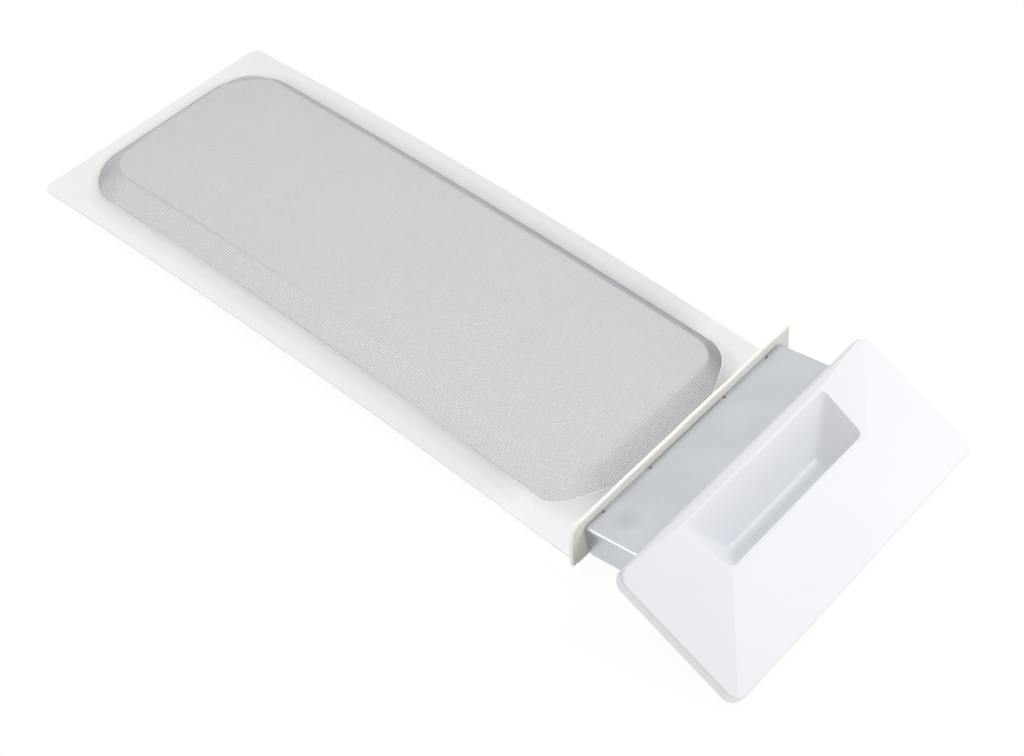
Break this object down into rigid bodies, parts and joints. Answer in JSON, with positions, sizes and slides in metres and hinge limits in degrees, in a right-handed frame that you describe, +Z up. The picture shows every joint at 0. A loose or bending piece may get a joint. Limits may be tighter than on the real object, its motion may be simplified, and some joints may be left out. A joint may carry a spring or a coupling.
{
  "type": "dryer lint filter",
  "caption": "Lint filter for a tumble dryer: arched plastic frame with a raised mesh screen, felt slot seal, folded steel neck and white handle with a finger pocket.",
  "frame": {"origin": "middle of the resting side, lying with the far end of the frame and the front rim of the handle on a table", "axes": "+X along the filter from the far end of the screen towards the handle, +Y across, +Z up out of the mesh pillow"},
  "size_m": [0.529, 0.206, 0.0394],
  "materials": {
    "frame_plastic": "translucent, satin",
    "mesh": "fine plain weave",
    "felt": "soft felt",
    "galvanised_steel": "zinc coated",
    "handle_plastic": "white, fine satin",
    "screw_steel": "zinc plated"
  },
  "bodies": {
    "root": {"screen_frame": "frame_plastic", "mesh_screen": "mesh", "slot_seal": "felt", "bracket": "galvanised_steel", "handle_cover": "handle_plastic", "handle_screws": "screw_steel"}
  },
  "joints": []
}
